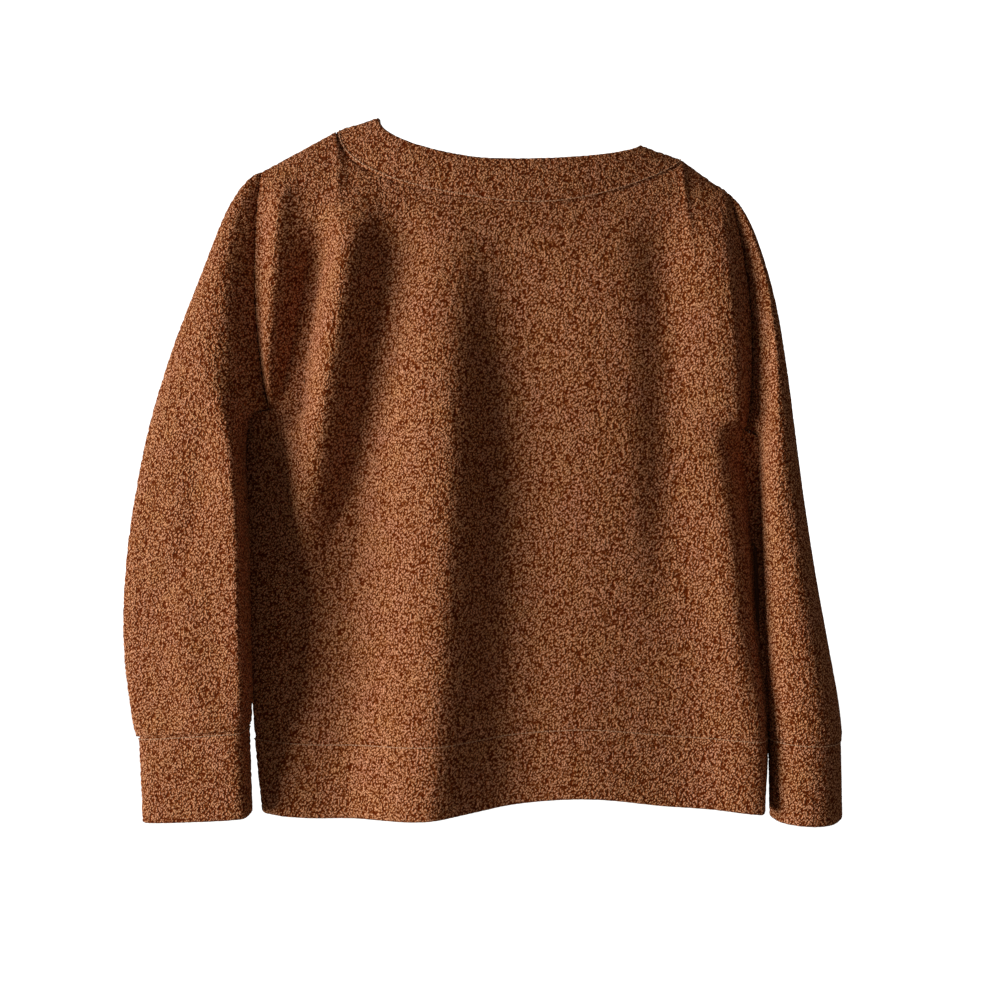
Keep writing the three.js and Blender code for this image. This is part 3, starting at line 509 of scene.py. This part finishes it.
def tube_surface(station, q, folds):
    """A sleeve's outer cloth in mm. q runs round it: 0 at the inner edge, 1 at the outer, 2 back again."""
    behind = q > 1
    u = np.where(behind, 2 - q, q)
    share = (1 - np.cos(np.pi * u)) / 2
    bow = np.sign(station.inner_x) * station.bow * np.sin(np.pi * u) ** 2
    x = lerp(station.inner_x, station.outer_x, share) + bow
    z = lerp(station.inner_z, station.outer_z, share)
    lift = fold_height(folds, x, z) * np.sin(np.pi * u) * np.where(behind, BEHIND, 1)
    shape = bulge(np.where(behind, u, u**station.crest), station.round)
    depth = np.where(behind, station.back, station.front) * shape + lift
    y = np.where(behind, 1, -1) * depth
    return np.stack([x + station.lean * y / station.front, y, z], axis=-1)


def station_at(table, at):
    places = np.arange(len(table))
    return Station(*(through(places, column, at) for column in zip(*table)))


def tube_grid(station_for, folds, low, high, cell):
    around = evenly(lambda q: tube_surface(station_for((low + high) / 2), q, folds), 0, 2, cell)[:-1]
    along = evenly(lambda at: tube_surface(station_for(at), np.full_like(at, 0.5), folds), low, high, cell)
    return tube_surface(station_for(along[:, None]), around[None, :], folds)


def tube(node_name, grid, seams, free=()):
    away = grid - grid.mean(axis=1, keepdims=True)
    return sew(f"{node_name}_fleece", node_name, grid, away, True, free=free, seams=seams)


for side, table, folds, flat in (("left", LEFT_SLEEVE, LEFT_SLEEVE_FOLDS, (0.44, 0.52)),
                                 ("right", RIGHT_SLEEVE, RIGHT_SLEEVE_FOLDS, (0.44, 0.50))):
    grid = tube_grid(lambda at, table=table: station_at(table, at), folds, 0, len(table) - 1, SLEEVE_CELL)
    grid[0, :, 0] -= LAP * (-1 if side == "left" else 1)  # the armhole's edge goes in under the body's
    sleeve = tube(f"{side}_sleeve", grid, ("first", "last"))
    finish_cloth(sleeve)


# ---- Hem band ----
# A ring of the same fleece, sewn on below both panels, its free edge turned in. It follows the folds
# above it.
HEM_ROWS = BACKING_STEP * 11


def hem_ring():
    lap = LAP / (LEFT_ARMHOLE.crotch_z - HEM_Z)
    w = np.linspace(0, 1, HEM_ROWS + 1)[:, None]
    sides = []
    for face, folds, low, high in (("front", FRONT_FOLDS, -1, 1), ("back", BACK_FOLDS, 1, -1)):
        s = evenly(lambda t: body_surface(face, t, 0.1, folds), low, high, HEM_CELL)
        v = w * (band_top(s)[None, :] + lap)
        sides.append(body_surface(face, s[None, :], v, folds)[:, :-1])
    return np.concatenate(sides, axis=1)


hem_grid = hem_ring()
hem = tube("hem_band", hem_grid, ("last",), ("first",))
finish_cloth(hem)


# ---- Neckband ----
# A ring set round the wide boat neck, its free edge turned in. It leans inwards from its seam to its edge.
NECK_EDGE_DEPTH = {"front": 21, "back": 20}
NECK_BAND = 38  # mm deep, about
NECK_ROWS = BACKING_STEP * 7
NECK_SWELL = 2  # mm that the band stands out halfway up
SEAM_END = 1e-4  # share of the neck seam at each end that lies on the middle plane


def neck_ring():
    w = np.linspace(-LAP / NECK_BAND, 1, NECK_ROWS + 1)[:, None]
    sides = []
    for face, folds, low, high in (("front", FRONT_FOLDS, 0, 1), ("back", BACK_FOLDS, 1, 0)):
        facing = -1 if face == "front" else 1
        inverse_s = np.linspace(-1, 1, 4001)
        top_x = lerp(LEFT_ARMHOLE.tip_x, RIGHT_ARMHOLE.tip_x, spread(inverse_s))

        def band(share, w=0.5):
            s = np.interp(lerp(NECK_SEAM.left_x, NECK_SEAM.right_x, share), top_x, inverse_s)
            seam = body_surface(face, s, 2.0, folds)
            seam[..., 1] = np.where((share < SEAM_END) | (share > 1 - SEAM_END), 0, seam[..., 1])
            edge_y = facing * NECK_EDGE_DEPTH[face] * bulge(share, NECK_ROUND)
            edge = np.stack([lerp(NECK_EDGE.left_x, NECK_EDGE.right_x, share), edge_y,
                             scoop(NECK_EDGE, face, share)], axis=-1)
            point = lerp(seam, edge, np.asarray(w)[..., None])
            point[..., 1] += facing * NECK_SWELL * np.sin(np.pi * np.asarray(w)) * bulge(share)
            return point

        share = evenly(band, low, high, NECK_CELL)[None, :]
        sides.append(band(*np.broadcast_arrays(share, w))[:, :-1])
    return np.concatenate(sides, axis=1)


neck_grid = neck_ring()
neck = tube("neckband", neck_grid, ("first",), ("last",))
finish_cloth(neck)


# ---- Cuffs ----
# Short straight rings of the same fleece, a little narrower than the sleeve that each is sewn to.
Cuff = namedtuple("Cuff", "draw_in inner_x inner_z outer_x outer_z front back lean crest")
CUFFS = {"left": Cuff(3, -227, -610, -326, -619, 24, 11, 0, 0.44),
         "right": Cuff(1.5, 238, -610, 303.5, -611, 47, 37, 13, 1.25)}
CUFF_LAP = 0.012  # share of a cuff that goes up under the sleeve


def cuff_station(side, share):
    seam, edge = (LEFT_SLEEVE if side == "left" else RIGHT_SLEEVE)[-1], CUFFS[side]
    inward = np.sign(seam.outer_x) * edge.draw_in
    narrower = edge.draw_in / 2
    return Station(inner_x=lerp(seam.inner_x + inward / 2, edge.inner_x, share),
                   inner_z=lerp(seam.inner_z, edge.inner_z, share),
                   outer_x=lerp(seam.outer_x - inward, edge.outer_x, share),
                   outer_z=lerp(seam.outer_z, edge.outer_z, share),
                   front=lerp(seam.front - narrower, edge.front, share),
                   back=lerp(seam.back - narrower, edge.back, share),
                   bow=0,
                   lean=lerp(seam.lean, edge.lean, share),
                   crest=lerp(seam.crest, edge.crest, share),
                   round=seam.round)


cuff_grids = {}
for side in ("left", "right"):
    cuff_grids[side] = tube_grid(lambda at, side=side: cuff_station(side, at), [], -CUFF_LAP, 1, SLEEVE_CELL)
    cuff = tube(f"{side}_cuff", cuff_grids[side], ("first",), ("last",))
    finish_cloth(cuff)


# ---- Stitching ----
# A row of lockstitch runs round each band about 3 mm from its sewn edge, in a thread a little lighter than
# the pile. The thread's middle stands just above the tops of the tufts.
THREAD = 0.5  # mm, half the width of the drawn thread
STITCH, STITCH_PITCH = 2.9, 3.6  # mm, a stitch's length and from one to the next
STITCH_OUT = 0.3  # mm that the thread's middle stands off the outer surface
STITCH_PROFILE = ((-0.5, 0.45), (-0.3, 1), (0.3, 1), (0.5, 0.45))  # place along a stitch, its thickness there
STITCH_SIDES = 6


def polyester_thread(name):
    thread = new_material(name)
    place = node(thread, "ShaderNodeTexCoord").outputs["Object"]
    # plies that turn every 1.5 mm along a straight row
    twist = node(thread, "ShaderNodeTexWave", {"Scale": 420.0, "bands_direction": "DIAGONAL"}, Vector=place)
    shade = ramp(thread, twist.outputs["Fac"], [(0.0, "#a8744c"), (1.0, "#e0b08a")])
    bump = node(thread, "ShaderNodeBump", {"Strength": 0.4, "Distance": 0.0001}, Height=twist.outputs["Fac"])
    skin = node(thread, "ShaderNodeBsdfPrincipled", {"Roughness": 0.6, "Specular IOR Level": 0.4},
                Base_Color=shade, Normal=bump.outputs[0])
    node(thread, "ShaderNodeOutputMaterial", Surface=skin.outputs[0])
    return thread


def stitching(name, seam, off):
    """A row of stitches along a closed line of points, each a small rounded bar that lies the way the seam
    runs. off holds the outward direction at each point."""
    step = np.linalg.norm(np.roll(seam, -1, 0) - seam, axis=1)
    run = np.concatenate([[0], np.cumsum(step)])
    count = int(run[-1] / STITCH_PITCH)
    start = (np.arange(count) + 0.5) * run[-1] / count

    def at(line, place):
        closed = np.append(line, line[:1], axis=0)
        return np.stack([np.interp(place % run[-1], run, column) for column in closed.T], -1)

    middle, out = at(seam, start), at(off, start)
    along = at(seam, start + 1) - at(seam, start - 1)
    along /= np.linalg.norm(along, axis=1, keepdims=True)
    out /= np.linalg.norm(out, axis=1, keepdims=True)
    side = np.cross(along, out)
    verts, faces = [], []
    for k in range(count):
        first = len(verts)
        for place, width in STITCH_PROFILE:
            for turn in np.arange(STITCH_SIDES) * np.pi / (STITCH_SIDES / 2):
                ring = side[k] * np.cos(turn) + out[k] * np.sin(turn)
                verts.append(middle[k] + along[k] * STITCH * place + ring * THREAD * width)
        last = first + STITCH_SIDES * (len(STITCH_PROFILE) - 1)
        for start_of_row in range(first, last, STITCH_SIDES):
            for i in range(STITCH_SIDES):
                a, b = start_of_row + i, start_of_row + (i + 1) % STITCH_SIDES
                faces.append([a, b, b + STITCH_SIDES, a + STITCH_SIDES])
        faces.append([first + i for i in reversed(range(STITCH_SIDES))])
        faces.append([last + i for i in range(STITCH_SIDES)])
    mesh = bpy.data.meshes.new(name)
    mesh.from_pydata((np.array(verts) * 0.001).tolist(), [], faces)
    mesh.polygons.foreach_set("use_smooth", [True] * len(faces))
    mesh.materials.append(THREAD_FINISH)
    piece = bpy.data.objects.new(name, mesh)
    bpy.context.collection.objects.link(piece)
    bpy.ops.object.select_all(action="DESELECT")
    bpy.context.view_layer.objects.active = piece
    piece.select_set(True)
    bpy.ops.object.mode_set(mode="EDIT")
    bpy.ops.mesh.select_all(action="SELECT")
    bpy.ops.mesh.normals_make_consistent(inside=False)
    bpy.ops.object.mode_set(mode="OBJECT")
    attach(piece, "root")


THREAD_FINISH = polyester_thread("polyester_thread")
# each row runs along the third row of points from the seam
for name, grid, row in (("hem_stitching", hem_grid, -3), ("neck_stitching", neck_grid, 2),
                        ("left_cuff_stitching", cuff_grids["left"], 2),
                        ("right_cuff_stitching", cuff_grids["right"], 2)):
    away = grid - grid.mean(axis=1, keepdims=True)
    out, _ = outward(grid, away, True)
    stitching(name, grid[row] + STITCH_OUT * out[row], out[row])


# ---- Room, light and camera ----
# A pale floor well below the hanging garment and a pale round wall, one large soft lamp at the left that
# rakes across the cloth, and little light from elsewhere.
ROOM_RADIUS = 7  # m
FLOOR_Z = -1.35  # m
MIDDLE_Z = -0.3  # m, the garment's middle
FILL = 0.135  # strength of the light from all round


def pale(name, strength):
    surface = new_material(name)
    skin = node(surface, "ShaderNodeBsdfPrincipled",
                {"Base Color": colour("#f2f1ef"), "Roughness": 0.9, "Emission Color": colour("#ffffff"),
                 "Emission Strength": strength})
    node(surface, "ShaderNodeOutputMaterial", Surface=skin.outputs[0])
    return surface


bpy.ops.object.select_all(action="DESELECT")
bpy.ops.mesh.primitive_circle_add(vertices=96, radius=ROOM_RADIUS, fill_type="NGON", location=(0, 0, FLOOR_Z))
floor = bpy.context.object
floor.name = "floor"
bpy.ops.mesh.primitive_uv_sphere_add(segments=64, ring_count=32, radius=ROOM_RADIUS,
                                     location=(0, 0, MIDDLE_Z))
wall = bpy.context.object
wall.name = "round_wall"
for stage, strength in ((floor, 0.95), (wall, 1.0)):
    stage.data.materials.append(pale(f"pale_{stage.name}", strength))
    stage.visible_diffuse = stage.visible_glossy = stage.visible_shadow = False

world = bpy.data.worlds.new("low_fill")
world.use_nodes = True
background = world.node_tree.nodes["Background"]
background.inputs["Color"].default_value = colour("#fff6ee")
background.inputs["Strength"].default_value = FILL
bpy.context.scene.world = world


def lamp(name, place, target, size, watts, tint):
    light = bpy.data.lights.new(name, "AREA")
    light.size, light.energy, light.color = size, watts, colour(tint)[:3]
    stand = bpy.data.objects.new(name, light)
    stand.location = place
    stand.rotation_euler = (Vector(target) - Vector(place)).to_track_quat("-Z", "Y").to_euler()
    bpy.context.collection.objects.link(stand)


lamp("window", (-4.63, -1.89, MIDDLE_Z), (0, 0, MIDDLE_Z), 3.0, 345, "#ffffff")

# the camera looks level at the garment's front, 1.05 m off its middle plane, where 42 mm on a 36 mm sensor
# frames 0.9 m
camera = bpy.data.objects.new("camera", bpy.data.cameras.new("camera"))
bpy.context.collection.objects.link(camera)
camera.location = (-0.0045, -1.05, -0.3285)
camera.rotation_euler = (np.pi / 2, 0, 0)
camera.data.lens, camera.data.sensor_width = 42, 36
bpy.context.scene.camera = camera
bpy.context.scene.view_settings.view_transform = "Standard"
